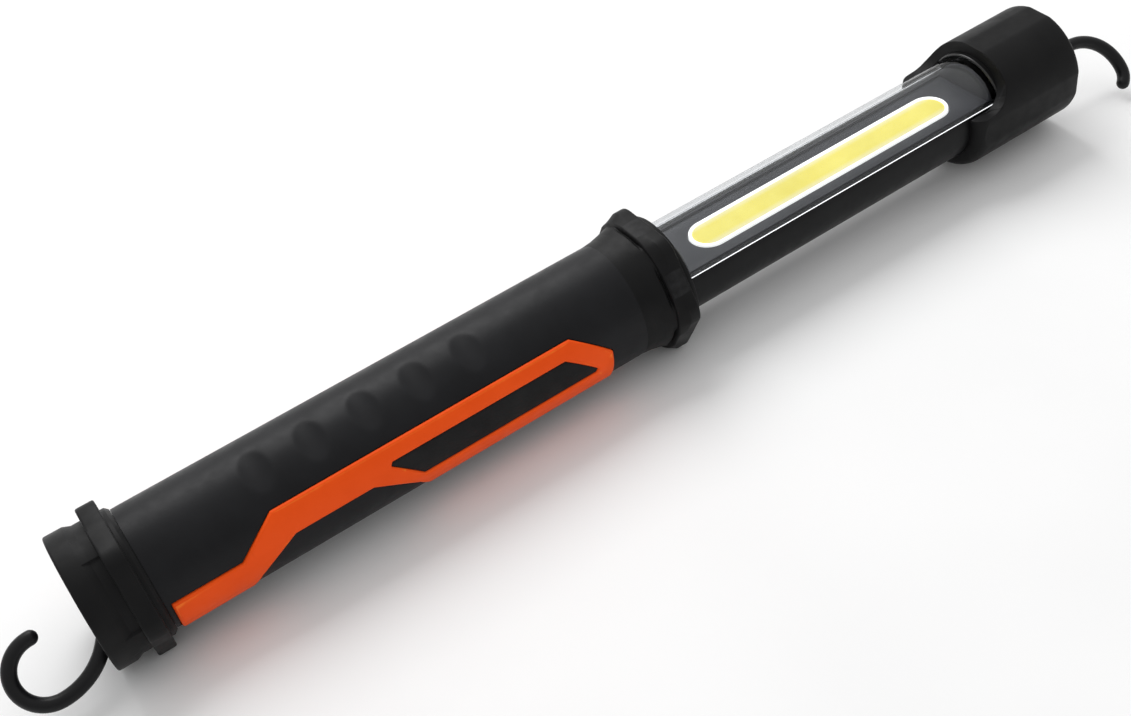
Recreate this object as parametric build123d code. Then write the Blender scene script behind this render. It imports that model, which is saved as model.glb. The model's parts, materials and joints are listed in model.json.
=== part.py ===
from build123d import *
import os
from math import cos, degrees, radians, sin, sqrt

# Cordless inspection light: a round handle with a rubber boot at the base, and a slim
# light head whose strip of LEDs looks out through a clear half-round lens.
#
# While it is modelled, the long axis is X, the base's end face is at x = 0, the head is
# towards +X, and the LEDs face +Z. An "angle" is measured about X from +Z towards +Y, and
# a "depth" runs inwards from an end face. The last lines set the light down on its flats.

# ---- driving dimensions, in millimetres and degrees -------------------------------------
LENGTH = 439.0            # base end face to head end face
HANDLE_R = 23.0
HEAD_R = 18.5             # lens and back housing together make one round tube
CAP_R = 24.4
FLAT_R = 26.2             # axis to the flats of both anti-roll rings
CORNER_FILLET = 8.0       # rounding of the anti-roll rings' six corners
WIRE_R = 2.7              # hook wire

BOOT_R, BOOT_LEN = 25.6, 23.0
BOOT_WAIST_R = 24.5
BOOT_HEX = (13.3, 20.2)
COLLAR_R = 24.6
COLLAR_X = (217.5, 240.5)
COLLAR_HEX = (229.2, 237.8)
SLEEVE_X = (23.1, 217.4)
SLEEVE_IN = 20.6
CORE_X = (22.5, 236.0)
CORE_OUT, CORE_IN = 20.5, 18.0

LENS_X = (240.6, 401.0)
LENS_WALL = 2.0
SEAM_Z = 6.2              # height of the joint between lens and back housing
HOUSING_IN = 15.9
STRIP_MID, STRIP_LEN, STRIP_W = 320.9, 129.0, 16.3
STRIP_BORDER = 1.4

GROOVES = 5               # finger grooves, a row beside the handle's front
GROOVE_FIRST, GROOVE_PITCH = 69.5, 21.0
GROOVE_DEPTH, GROOVE_LEN, GROOVE_SPREAD = 1.2, 11.0, 22.0
GROOVE_TURN = -20.0

INLAY_R, INLAY_SEAT_R, PANEL_R = 24.0, 22.0, 23.3
BUTTON_X, BUTTON_L, BUTTON_W, BUTTON_R = 205.0, 18.0, 9.6, 24.1
PORT_X = 37.0
HOOK_TURN = 44.0          # both hooks lie in the plane at this angle about the axis
PIVOT_DEPTH = 12.0        # hook pins, inwards from the end faces
FLOOR_DEPTH = 19.0        # floor of the recess in each end
FIT = 0.08                # running clearance on a radius
GAP = 0.1                 # clearance between fixed round pieces

EYE_R, EYE_HALF = 4.0, 2.78   # eye that carries a hook on its pin
PIN_R = 1.3

BASE_LEAN = radians(51.4)  # angle between the base hook's shank and the axis
BASE_RUN, BASE_EASE_R, BASE_HOOK_R = 19.7, 24.0, 11.6
HEAD_LEAN = radians(4.3)
HEAD_RUN, HEAD_HOOK_R, HEAD_TIP_R = 31.0, 18.3, 8.0

BASE_REACH = BASE_RUN * cos(BASE_LEAN) + BASE_EASE_R * sin(BASE_LEAN) + BASE_HOOK_R
HEAD_REACH = HEAD_RUN * cos(HEAD_LEAN) - HEAD_HOOK_R * sin(HEAD_LEAN) + HEAD_HOOK_R
MIDDLE_X = (LENGTH + HEAD_REACH - BASE_REACH) / 2


# ---- helpers ----------------------------------------------------------------------------
def tube(x0, x1, outer, inner=0.0):
    """A round bar or tube along X."""
    low = (Align.CENTER, Align.CENTER, Align.MIN)
    bar = Pos(x0, 0, 0) * Rot(0, 90, 0) * Cylinder(outer, x1 - x0, align=low)
    if inner:
        bar -= Pos(x0 - 1, 0, 0) * Rot(0, 90, 0) * Cylinder(inner, x1 - x0 + 2, align=low)
    return bar


def block(x, y, z):
    """A box from three (low, high) pairs."""
    size = Box(x[1] - x[0], y[1] - y[0], z[1] - z[0])
    return Pos((x[0] + x[1]) / 2, (y[0] + y[1]) / 2, (z[0] + z[1]) / 2) * size


def turned(points):
    """A ring turned about X from an (x, radius) outline."""
    return revolve(make_face(Polyline(*points, close=True)), Axis.X, 360)


def around(shape, angle):
    """Turn a piece made at +Z to an angle about the long axis."""
    return Rot(-angle, 0, 0) * shape


def spin(shape, count, first=0.0):
    """Copies of a piece, evenly spaced about the long axis."""
    return [around(shape, first + 360 / count * i) for i in range(count)]


def side_prism(points, depth=40):
    """An (x, z) outline pushed out towards -Y."""
    return extrude(Plane.XZ * make_face(Polyline(*points, close=True)), depth)


def pill_down(x, length, width, z_low, z_high, y=0.0):
    """An upright block with round ends, long in X."""
    outline = Pos(x, y, z_low) * SlotOverall(length, width)
    return extrude(outline, z_high - z_low)


def hexagon(x0, x1, flat_r):
    """A rounded hexagonal bar along X, standing on a flat."""
    outline = RegularPolygon(flat_r / cos(radians(30)), 6)
    outline = fillet(outline.vertices(), CORNER_FILLET)
    return Pos(x0, 0, 0) * extrude(Plane.YZ * outline, x1 - x0)


def at_height(angle, radius=INLAY_R):
    """Height of a point on a round side, at an angle from +Z."""
    return radius * cos(radians(angle))


def to_head(shape):
    """The same piece at the head's end."""
    return mirror(shape, about=Plane.YZ.offset(LENGTH / 2))


def lead(points, radius=0.8, bend=4.0):
    """An insulated lead along a bent route."""
    route = FilletPolyline(*points, radius=bend)
    section = Plane(origin=route @ 0, z_dir=route % 0) * Circle(radius)
    return sweep(section, path=route)


def mirrored_pair(shape):
    """A piece and its mirror image across the XZ plane."""
    return [shape, mirror(shape, about=Plane.XZ)]


# ---- base boot and handle ---------------------------------------------------------------
def base_boot():
    """Rubber boot: end ring, waist, anti-roll hexagon and a small step to the handle."""
    lip, cup_r, core_r = 20.4, 21.6 + GAP, CORE_OUT + GAP
    body = turned([
        (0, lip), (0, BOOT_R - 1.3), (0.4, BOOT_R - 0.4), (1.3, BOOT_R), (7.1, BOOT_R),
        (9.8, BOOT_WAIST_R), (21.2, BOOT_WAIST_R), (22.3, 24.0), (BOOT_LEN, HANDLE_R + 0.3),
        (BOOT_LEN, core_r), (21.6, core_r), (21.6, cup_r), (1.3, cup_r), (1.3, lip)])
    ring = hexagon(*BOOT_HEX, FLAT_R) - tube(0, BOOT_LEN, BOOT_WAIST_R - 0.6)
    rim = ring.edges().filter_by(GeomType.LINE).filter_by(Axis.X, reverse=True)
    arcs = ring.edges().filter_by(GeomType.CIRCLE)
    outer = rim + arcs.filter_by(lambda e: abs(e.radius - CORNER_FILLET) < 0.5)
    ring = fillet(outer, 0.9)
    body += ring
    pad_wall = tube(0.9, BOOT_HEX[0] + 0.4, BOOT_R - 0.15, BOOT_WAIST_R - 0.6)
    half = BOOT_R * sin(radians(11.5))
    for pad in spin(block((0, 14), (-half, half), (0, 40)), 4, first=-10.0):
        body += pad_wall & pad
    return body


def base_gasket():
    return tube(21.55, 22.45, 20.4, 18.3)


def end_cup(recess_r, outer_r, front, tail):
    """Hard cup that lines the recess in an end; tail is its rear tube, as (x, x, out, in)."""
    floor = FLOOR_DEPTH
    mouth = recess_r + 0.7
    cup = turned([
        (front, mouth), (front, outer_r - 0.4), (front + 0.4, outer_r), (floor + 2.5, outer_r),
        (floor + 2.5, 3.0 + FIT), (floor, 3.0 + FIT), (floor, recess_r), (front + 1.0, recess_r)])
    x0, x1, tail_out, tail_in = tail
    cup += tube(x0, x1, tail_out, tail_in)
    return cup


def cup_screw_holes(radius, spread):
    """Three screw holes through a cup's floor and what is behind it."""
    return spin(Pos(0, 0, spread) * tube(FLOOR_DEPTH - 1, 30.5, radius), 3, first=14)


def cup_screws(spread, reach):
    """Three pan-head screws that hold a cup."""
    screws = []
    for hole in range(3):
        screw = tube(FLOOR_DEPTH - 1.7, FLOOR_DEPTH, 2.3) + tube(FLOOR_DEPTH, reach, 1.15)
        screw = fillet(screw.edges().group_by(Axis.X)[0], 0.7)
        screw -= block((17.2, 17.9), (-1.6, 1.6), (-0.3, 0.3))
        screw -= block((17.2, 17.9), (-0.3, 0.3), (-1.6, 1.6))
        screws.append(around(Pos(0, 0, spread) * screw, 14 + 120 * hole))
    return Compound(screws)


def button_hole(length, width):
    return pill_down(BUTTON_X, length, width, -40, -8)


def indicator_rods(radius, low):
    """Four short light pipes in a row behind the switch."""
    spots = [180.5 + 3.5 * i for i in range(4)]
    low_end = (Align.CENTER, Align.CENTER, Align.MIN)
    return [Pos(x, 0, low) * Cylinder(radius, -11.6 - low, align=low_end) for x in spots]


def neck_screw(radius_head, radius_shank, tip):
    """One radial screw, or its hole, on the +Y side of the neck."""
    base = Plane(origin=(226, CORE_OUT - 0.1, 0), z_dir=(0, -1, 0))
    low = (Align.CENTER, Align.CENTER, Align.MIN)
    head = base * Cylinder(radius_head, 1.4, align=low)
    return head + base * Cylinder(radius_shank, CORE_OUT - 0.1 - tip, align=low)


def handle_core():
    """Stiff inner tube of the handle, with a web near the base that takes the cup's screws."""
    core = tube(*CORE_X, CORE_OUT, CORE_IN)
    core += tube(24.0, 28.0, CORE_IN + 0.5, 10.5)
    for hole in cup_screw_holes(1.2, 14.0):
        core -= hole
    core -= button_hole(BUTTON_L + 0.5, BUTTON_W + 0.5)
    core -= pill_down(PORT_X, 10.4, 4.8, -40, -12)
    for hole in indicator_rods(1.3, -40):
        core -= hole
    for hole in mirrored_pair(neck_screw(2.3, 1.3, 10)):
        core -= hole
    return core


def finger_groove(x):
    """Cutter for one groove: deepest at its middle, running out to both ends."""
    bottom = HANDLE_R - GROOVE_DEPTH
    half = HANDLE_R * sin(radians(GROOVE_SPREAD))
    drop = bottom - HANDLE_R * cos(radians(GROOVE_SPREAD))
    sweep_r = (half ** 2 + drop ** 2) / (2 * drop)
    round_r = (GROOVE_LEN / 2) ** 2 / (2 * GROOVE_DEPTH)
    ring = Pos(x, 0, bottom - sweep_r) * Rot(0, 90, 0) * Torus(sweep_r + round_r, round_r)
    return around(ring, GROOVE_TURN)


def inlay_outline(grow=0.0):
    """Side inlay seen from the side: a low leg, a high back and a cut-off nose."""
    top, knee, nose = at_height(56.5), at_height(86), at_height(88.5)
    foot = at_height(131)
    g = grow
    return [(24.9 - g, knee + g), (51.2 - g, knee + g), (66.7 - g, top + g), (187.1 + g, top + g),
            (201.6 + g, nose + g), (201.6 + g, foot - g), (24.9 - g, foot - g)]


def window_outline(grow=0.0):
    """Long dark window in the inlay, with its two small corners clipped."""
    top, low = at_height(72.7), at_height(103.5)
    g = grow
    return [(110.6 - g, top + g), (182.6 + g, top + g), (194.4 + g, low + 2.0), (193.8 + g, low - g),
            (120.4 - g, low - g), (109.8 - g, top - 1.6)]


def lower_outline(grow=0.0):
    """Dark panel that rises into the inlay from its lower edge."""
    top, foot = at_height(86), at_height(131)
    g = grow
    return [(71.0 - g, top + g), (101.3 + g, top + g), (121.5 + g, foot - g), (52.5 - g, foot - g)]


def side_shell(outline, inner, outer):
    """A curved plate with an outline's shape, between two radii, on the -Y side."""
    wall = tube(20, 210, outer, inner)
    return wall & side_prism(outline)


def side_inlay():
    plate = side_shell(inlay_outline(), INLAY_SEAT_R + GAP, INLAY_R)
    plate -= side_prism(window_outline())
    plate -= side_prism(lower_outline()[:2] + [(122.4, at_height(133)), (51.6, at_height(133))])
    return plate


def window_panel():
    return side_shell(window_outline(-GAP), INLAY_SEAT_R + GAP, PANEL_R)


def lower_panel():
    return side_shell(lower_outline(-GAP), INLAY_SEAT_R + GAP, PANEL_R)


def grip_sleeve():
    """Soft grip moulded round the core, with finger grooves and seats for the inlays."""
    sleeve = tube(*SLEEVE_X, HANDLE_R, SLEEVE_IN)
    for i in range(GROOVES):
        sleeve -= finger_groove(GROOVE_FIRST + GROOVE_PITCH * i)
    seat = side_shell(inlay_outline(GAP), INLAY_SEAT_R, 30)
    for pocket in mirrored_pair(seat):
        sleeve -= pocket
    sleeve -= button_hole(BUTTON_L + 4.0, BUTTON_W + 4.0)
    sleeve -= block((29.5, 46.5), (-7.0, 7.0), (-40, -10))
    for hole in indicator_rods(1.3, -40):
        sleeve -= hole
    return sleeve


# ---- switch, charging port and power pack -----------------------------------------------
def switch_bezel():
    ring = pill_down(BUTTON_X, BUTTON_L + 3.8, BUTTON_W + 3.8, -40, -10)
    ring -= button_hole(BUTTON_L + 0.5, BUTTON_W + 0.5)
    wall = tube(190, 220, BUTTON_R - 0.3, SLEEVE_IN + GAP)
    return wall & ring


def switch_button():
    """Push button with a flange that keeps it in the handle."""
    flange_z = -16.7
    crown = pill_down(BUTTON_X, BUTTON_L, BUTTON_W, -40, flange_z) & tube(190, 220, BUTTON_R)
    crown = fillet(crown.edges().group_by(Axis.Z)[0], 0.5)
    return crown + pill_down(BUTTON_X, BUTTON_L + 2.4, BUTTON_W + 2.4, flange_z, flange_z + 1)


def switch_plunger():
    low = (Align.CENTER, Align.CENTER, Align.MIN)
    return Pos(BUTTON_X, 0, -15.6) * Cylinder(1.7, 2.7, align=low)


def switch_body():
    body = block((BUTTON_X - 3.1, BUTTON_X + 3.1), (-3.1, 3.1), (-14.2, -11.5))
    low = (Align.CENTER, Align.CENTER, Align.MIN)
    return body - Pos(BUTTON_X, 0, -15) * Cylinder(1.7 + GAP, 3.1, align=low)


def driver_board():
    return block((178, 213), (-12, 12), (-11.5, -9.9))


def charge_indicators():
    return Compound(indicator_rods(1.2, -(HANDLE_R + 0.15)))


def charge_board():
    return block((29, 44), (-9, 9), (-13.4, -11.8))


def charging_socket():
    """Upright socket with a flat tongue, its mouth facing out of the handle's back."""
    shell = pill_down(PORT_X, 9.0, 3.3, -19.9, -13.4)
    shell -= pill_down(PORT_X, 8.3, 2.6, -21, -14.5)
    return shell + block((PORT_X - 3.3, PORT_X + 3.3), (-0.35, 0.35), (-19.0, -14.4))


def port_cover():
    """Rubber flap over the socket, with a plug boss and a hinge knuckle."""
    plate = tube(29.8, 45.0, HANDLE_R + 0.3, 20.85) & block((29.8, 45.0), (-6.7, 6.7), (-30, 0))
    plate += pill_down(PORT_X, 9.4, 3.9, -21.2, -20.1)
    knuckle = Pos(45.0, 0, -22.0) * Rot(90, 0, 0) * Cylinder(1.15, 13.4)
    plate += knuckle
    return plate - Pos(45.0, 0, -22.0) * Rot(90, 0, 0) * Cylinder(0.55 + FIT, 20)


def port_cover_pin():
    return Pos(45.0, 0, -22.0) * Rot(90, 0, 0) * Cylinder(0.55, 13.9)


CELL_LEN, CELL_R, CELL_TIP = 64.0, 13.1, 1.4
CELL_X = 46.2


def battery_cells():
    cells = []
    for i in range(2):
        x = CELL_X + i * (CELL_LEN + CELL_TIP)
        cells.append(fillet(tube(x, x + CELL_LEN, CELL_R).edges(), 1.2))
    return Compound(cells)


def cell_terminals():
    tips = [CELL_X + CELL_LEN + i * (CELL_LEN + CELL_TIP) for i in range(2)]
    return Compound([tube(x, x + CELL_TIP - 0.05, 3.6) for x in tips])


def battery_holder():
    """Trough that carries the cells."""
    trough = tube(45.0, 178.0 - 0.6, 15.0, CELL_R + 0.2)
    trough -= block((40, 180), (-20, 20), (4, 20))
    for x in (70, 105, 140):
        trough -= block((x, x + 16), (-6, 6), (-20, 0))
    return trough


def battery_contacts():
    low = tube(45.4, 46.1, 8.0)
    high = tube(177.0, 177.4, 8.0)
    return Compound([low, high])


def battery_leads():
    leads = []
    for side in (-1, 1):
        leads.append(lead([(37, 7 * side, -10.95), (43, 16.4 * side, -2), (179, 16.4 * side, -2),
                           (186, 10.5 * side, -9.05)], bend=3.0))
    return Compound(leads)


# ---- neck and light head ----------------------------------------------------------------
def neck_coupling():
    """Plug in the handle's front that the head is seated in."""
    plug = tube(216.5, 236.2, CORE_IN - GAP, 15.2) + tube(236.1, 239.5, 21.0, 15.2)
    for hole in mirrored_pair(neck_screw(1.2, 1.2, 10)):
        plug -= hole
    return plug


def neck_screws():
    return Compound(mirrored_pair(neck_screw(2.2, 1.15, 15.6)))


def front_collar():
    """Rubber collar: a flare off the handle, an anti-roll hexagon and a rounded lip."""
    x0, x1 = COLLAR_X
    h0, h1 = COLLAR_HEX
    core_r = CORE_OUT + GAP
    body = turned([
        (x0, core_r), (x0, HANDLE_R + 0.1), (221.5, HANDLE_R + 0.4), (225.0, HANDLE_R + 1.1),
        (h0 - 1.0, COLLAR_R), (h0 - 0.5, 23.9), (h0, 23.9), (h0, COLLAR_R), (x1 - 1.3, COLLAR_R),
        (x1 - 0.4, COLLAR_R - 0.5), (x1, COLLAR_R - 1.4), (x1, HEAD_R + 0.6), (239.7, HEAD_R + 0.6),
        (239.7, 21.1), (236.05, 21.1), (236.05, core_r)])
    corner_limit = turned([
        (h0, 20), (h0, 26.3), (h0 + 4.0, 29.4), (h1 - 0.4, 29.4), (h1, 28.8), (h1, 20)])
    ring = hexagon(h0, h1, FLAT_R) & corner_limit
    return body + (ring - tube(200, 250, COLLAR_R - 0.6))


def neck_gasket():
    return tube(239.6, 240.4, 18.0, 15.2)


def below_seam(shape):
    return shape & block((200, 450), (-40, 40), (-40, SEAM_Z))


def head_housing():
    """Back half of the head's tube, with a plug at each end."""
    x0, x1 = LENS_X[0] - GAP, LENS_X[1]
    half = below_seam(tube(x0, x1, HEAD_R, HOUSING_IN))
    half += below_seam(tube(x0, x0 + 2, HEAD_R, 11) + tube(x1 - 2, x1, HEAD_R, 11))
    rail = block((247, 395), (13.3, 18), (-1.8, 0.1)) & tube(240, 400, HOUSING_IN + 0.3)
    for side in mirrored_pair(rail):
        half += side
    half += tube(224, x0 + 2, 15.1, 13.2)
    half += tube(x1 - 2, 413, 15.1, 12.5) + tube(409, 413, 15.1, 8)
    for hole in cup_screw_holes(1.2, 12.6):
        half -= to_head(hole)
    return half


def heatsink():
    """Finned bar that carries heat from the LEDs to the housing."""
    bar = block((247, 395), (-14.9, 14.9), (0.2, 2.5))
    for y in (-10, -5, 0, 5, 10):
        deep = -sqrt(15.2 ** 2 - (abs(y) + 0.8) ** 2)
        bar += block((247, 395), (y - 0.8, y + 0.8), (deep, 0.3))
    return bar


def strip_pill(inset, z_low, z_high):
    return pill_down(STRIP_MID, STRIP_LEN - 2 * inset, STRIP_W - 2 * inset, z_low, z_high)


def cob_board():
    return block((STRIP_MID - 68, STRIP_MID + 68), (-10, 10), (2.5, 4.2))


def cob_dam():
    """White wall round the phosphor."""
    return strip_pill(0, 4.2, 6.3) - strip_pill(STRIP_BORDER, 4, 7)


def cob_phosphor():
    return strip_pill(STRIP_BORDER, 4.2, 6.0)


def reflector_tray():
    """Dark tray round the strip, with low side rails and round end plates."""
    tray = block((243, 398.6), (-14.7, 14.7), (4.4, 5.7)) - strip_pill(-0.35, 4, 6)
    for rail in mirrored_pair(block((243, 398.6), (13.8, 14.5), (5.6, 6.7))):
        tray += rail
    plate = tube(241, 450, 15.9) & block((200, 450), (-40, 40), (4.4, 40))
    tray += plate & block((243, 244.6), (-40, 40), (0, 40))
    tray += plate & block((397, 398.6), (-40, 40), (0, 40))
    return tray


def lens():
    """Clear half-round cover."""
    return tube(*LENS_X, HEAD_R, HEAD_R - LENS_WALL) & block((200, 450), (-40, 40), (SEAM_Z + GAP, 40))


def cob_leads():
    leads = []
    for side in (-1, 1):
        leads.append(lead([(208, 4 * side, -9.05), (222, 4 * side, -9.05), (238, 4 * side, 3.4),
                           (252.8, 4 * side, 3.4)]))
    return Compound(leads)


def front_seal():
    return fillet(tube(398.6, 403.8, 19.9, HEAD_R + GAP).edges(), 0.4)


def scoop():
    """Cutter that opens the cap's front over the lens, with a curved corner."""
    r, x = 12.0, 389.0
    z = SEAM_Z + r
    cut = block((360, x), (-40, 40), (SEAM_Z, 40)) + block((360, x + r), (-40, 40), (z, 40))
    return cut + Pos(x, 0, z) * Rot(90, 0, 0) * Cylinder(r, 80)


def head_cap():
    """Rubber cap over the head's end: rounded shoulder, scooped front, four long flats."""
    foot_x, full_x = 382.5, 388.0
    tube_r = HEAD_R + 0.2
    rise = CAP_R - tube_r
    steps = 7
    shoulder = []
    for i in range(steps + 1):
        turn = radians(90 * i / steps)
        shoulder.append((full_x - (full_x - foot_x) * cos(turn), tube_r + rise * sin(turn)))
    body = turned([
        (foot_x, tube_r - 0.05), *shoulder, (LENGTH - 2.4, CAP_R), (LENGTH - 1.0, CAP_R - 0.5),
        (LENGTH - 0.2, CAP_R - 1.4), (LENGTH, CAP_R - 2.4), (LENGTH, 18.6), (437.6, 18.6),
        (437.6, 20.5), (404, 20.5), (404, 20.0), (396, 20.0), (396, tube_r - 0.05)])
    body -= scoop()
    flat = block((370, 450), (-20, 20), (CAP_R - 0.55, 40))
    for face in spin(flat, 4, first=-2.5):
        body -= face
    return body


# ---- hooks ------------------------------------------------------------------------------
def hook_hub():
    """Swivel: a disc with two ears for the pin, and a spindle through the cup's floor."""
    hub = tube(16.5, FLOOR_DEPTH - 0.2, 9.0) + tube(FLOOR_DEPTH - 0.3, 24.3, 3.0)
    ear_y = (EYE_HALF + GAP, 5.5)
    ear = block((PIVOT_DEPTH, 16.7), ear_y, (-4.3, 4.3))
    middle_y = (ear_y[0] + ear_y[1]) / 2
    ear += Pos(PIVOT_DEPTH, middle_y, 0) * Rot(90, 0, 0) * Cylinder(4.3, ear_y[1] - ear_y[0])
    for side in mirrored_pair(ear):
        hub += side
    hub -= Pos(PIVOT_DEPTH, 0, 0) * Rot(90, 0, 0) * Cylinder(PIN_R, 20)
    return around(hub, HOOK_TURN)


def hook_pin():
    pin = Pos(PIVOT_DEPTH, 0, 0) * Rot(90, 0, 0) * Cylinder(PIN_R, 11.6)
    return around(pin, HOOK_TURN)


def hub_clip():
    """Ring that keeps the spindle in the cup."""
    ring = tube(21.75, 22.75, 5.4, 3.0)
    return ring - block((20, 24), (-0.9, 0.9), (2, 8))


def hook(path):
    """Bent wire with an eye for its pin, from a path drawn in the XZ plane."""
    section = Plane(origin=path @ 0, z_dir=path % 0) * Circle(WIRE_R)
    bent = sweep(section, path=path) + Pos(path @ 1) * Sphere(WIRE_R)
    eye = Pos((path @ 0).X, 0, 0) * Rot(90, 0, 0)
    bent += eye * Cylinder(EYE_R, 2 * EYE_HALF)
    bent -= eye * Cylinder(PIN_R + FIT, 20)
    return around(bent, HOOK_TURN)


def bent_path(start, heading, run, bends):
    """A straight run and then arcs, each (radius, turn), in the XZ plane."""
    end = (start + run * cos(radians(heading)), run * sin(radians(heading)))
    edges = [Line((start, 0), end)]
    for radius, turn in bends:
        last = edges[-1]
        edges.append(JernArc(last @ 1, last % 1, radius, turn))
    return Rot(90, 0, 0) * Wire(edges)


def base_hook():
    """Nearly closed hook that leans out of the base."""
    lean = degrees(BASE_LEAN)
    bends = [(BASE_EASE_R, -lean), (BASE_HOOK_R, -182)]
    return hook(bent_path(PIVOT_DEPTH, 180 + lean, BASE_RUN, bends))


def head_hook():
    """Open hook at the head: a straight shank that curls over, tighter at the tip."""
    bends = [(HEAD_HOOK_R, -90.7), (HEAD_TIP_R, -46)]
    return hook(bent_path(LENGTH - PIVOT_DEPTH, -degrees(HEAD_LEAN), HEAD_RUN, bends))


# ---- the set of nodes -------------------------------------------------------------------
def base_end_cup():
    cup = end_cup(19.6, 21.6, 1.4, (21.4, 23.9, CORE_IN - GAP, 16.4))
    for hole in cup_screw_holes(1.4, 14.0):
        cup -= hole
    return cup


def head_end_cup():
    cup = end_cup(17.8, 20.4, 1.5, (21.4, 35.0, 17.6, 15.2))
    for hole in cup_screw_holes(1.4, 12.6):
        cup -= hole
    return to_head(cup)


def all_nodes():
    inlays = dict(zip(("left", "right"), mirrored_pair(side_inlay())))
    windows = dict(zip(("left", "right"), mirrored_pair(window_panel())))
    lowers = dict(zip(("left", "right"), mirrored_pair(lower_panel())))
    nodes = {
        "base_boot": base_boot(),
        "base_gasket": base_gasket(),
        "base_end_cup": base_end_cup(),
        "base_cup_screws": cup_screws(14.0, 27.5),
        "base_hook_hub": hook_hub(),
        "base_hook_pin": hook_pin(),
        "base_hub_clip": hub_clip(),
        "base_hook": base_hook(),
        "handle_core": handle_core(),
        "grip_sleeve": grip_sleeve(),
        "switch_bezel": switch_bezel(),
        "switch_button": switch_button(),
        "switch_plunger": switch_plunger(),
        "switch_body": switch_body(),
        "driver_board": driver_board(),
        "charge_indicators": charge_indicators(),
        "charge_board": charge_board(),
        "charging_socket": charging_socket(),
        "port_cover": port_cover(),
        "port_cover_pin": port_cover_pin(),
        "battery_cells": battery_cells(),
        "cell_terminals": cell_terminals(),
        "battery_holder": battery_holder(),
        "battery_contacts": battery_contacts(),
        "battery_leads": battery_leads(),
        "neck_coupling": neck_coupling(),
        "neck_screws": neck_screws(),
        "front_collar": front_collar(),
        "neck_gasket": neck_gasket(),
        "head_housing": head_housing(),
        "heatsink": heatsink(),
        "cob_board": cob_board(),
        "cob_dam": cob_dam(),
        "cob_phosphor": cob_phosphor(),
        "reflector_tray": reflector_tray(),
        "lens": lens(),
        "cob_leads": cob_leads(),
        "front_seal": front_seal(),
        "head_cap": head_cap(),
        "head_end_cup": head_end_cup(),
        "head_cup_screws": to_head(cup_screws(12.6, 29.0)),
        "head_hook_hub": to_head(hook_hub()),
        "head_hook_pin": to_head(hook_pin()),
        "head_hub_clip": to_head(hub_clip()),
        "head_hook": head_hook(),
    }
    for side in ("left", "right"):
        nodes["side_inlay_" + side] = inlays[side]
        nodes["window_panel_" + side] = windows[side]
        nodes["lower_panel_" + side] = lowers[side]
    return nodes


os.makedirs("parts", exist_ok=True)
SET_DOWN = Pos(-MIDDLE_X, 0, FLAT_R)
for name, shape in all_nodes().items():
    export_step(SET_DOWN * shape, "parts/" + name + ".step")
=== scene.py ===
import json
from math import acos, asin, atan2, ceil, cos, degrees, pi, radians, sin, sqrt, tan

import bmesh
import bpy
from mathutils import Matrix, Vector


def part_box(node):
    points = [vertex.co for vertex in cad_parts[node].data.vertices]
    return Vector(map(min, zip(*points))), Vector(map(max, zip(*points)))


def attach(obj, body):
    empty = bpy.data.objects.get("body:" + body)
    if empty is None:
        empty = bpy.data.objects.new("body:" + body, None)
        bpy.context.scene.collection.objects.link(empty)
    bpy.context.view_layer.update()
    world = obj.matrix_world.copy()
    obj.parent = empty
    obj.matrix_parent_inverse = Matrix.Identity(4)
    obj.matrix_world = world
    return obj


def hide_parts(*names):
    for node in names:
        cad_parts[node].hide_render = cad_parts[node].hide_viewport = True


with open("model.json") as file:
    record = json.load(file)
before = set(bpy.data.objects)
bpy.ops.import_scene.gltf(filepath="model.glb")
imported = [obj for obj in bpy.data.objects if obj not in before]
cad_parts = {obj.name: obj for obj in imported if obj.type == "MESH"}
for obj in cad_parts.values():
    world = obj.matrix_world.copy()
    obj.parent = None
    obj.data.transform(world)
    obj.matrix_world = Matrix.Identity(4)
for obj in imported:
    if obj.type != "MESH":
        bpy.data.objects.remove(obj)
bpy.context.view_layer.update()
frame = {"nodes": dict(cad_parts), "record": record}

# Cordless stick work light. Sizes are in millimetres and degrees unless a name says
# otherwise: x runs along the axis from the base's end face, a radius is measured from the
# axis, and an angle runs about it from straight up (+Z) towards +Y. place() and spot() turn
# them into the frame's metres.
MM = 0.001
BASE_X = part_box("base_boot")[0][0]
AXIS_Z = (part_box("handle_core")[0][2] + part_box("handle_core")[1][2]) / 2


def x_of(node, end):
    """Where a CAD node starts (end 0) or stops (end 1) along the axis."""
    return (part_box(node)[end][0] - BASE_X) / MM


def height_of(node, end):
    """How far a CAD node reaches above the axis (end 1) or below it (end 0)."""
    return (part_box(node)[end][2] - AXIS_Z) / MM


# ---- driving sizes, read from the frame where it gives them ----
LENGTH = x_of("head_cap", 1)
SLEEVE = (x_of("grip_sleeve", 0), x_of("grip_sleeve", 1))
COLLAR = (x_of("front_collar", 0), x_of("front_collar", 1))
LENS = (x_of("lens", 0), x_of("lens", 1))
SEAM_GAP = 0.1            # between the lens' foot and the housing's top
SEAM_Z = height_of("lens", 0) - SEAM_GAP
FLAT_R = -height_of("base_boot", 0)       # the anti-roll rings' flats
CORNER_FILLET = 8.0       # rounding of the anti-roll rings' corners
HANDLE_R = 23.0
BORE_R = 20.6             # of the boot, grip and collar, round the handle's inner tube
HEAD_R = height_of("lens", 1)
CAP_R = 24.4
HOUSING_IN = 15.9         # radius of the housing's inside
INLAY_R, PANEL_R, SEAT_R = 24.0, 23.3, 22.0
STRIP_MID = (x_of("cob_dam", 0) + x_of("cob_dam", 1)) / 2
STRIP_LEN = x_of("cob_dam", 1) - x_of("cob_dam", 0)
STRIP_W = (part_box("cob_dam")[1][1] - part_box("cob_dam")[0][1]) / MM
STRIP_TOP = height_of("cob_dam", 1)
STRIP_BORDER = 1.4
BUTTON_X = (x_of("switch_button", 0) + x_of("switch_button", 1)) / 2
BUTTON_L, BUTTON_W, BUTTON_R = 18.0, 9.6, 24.1
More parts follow.
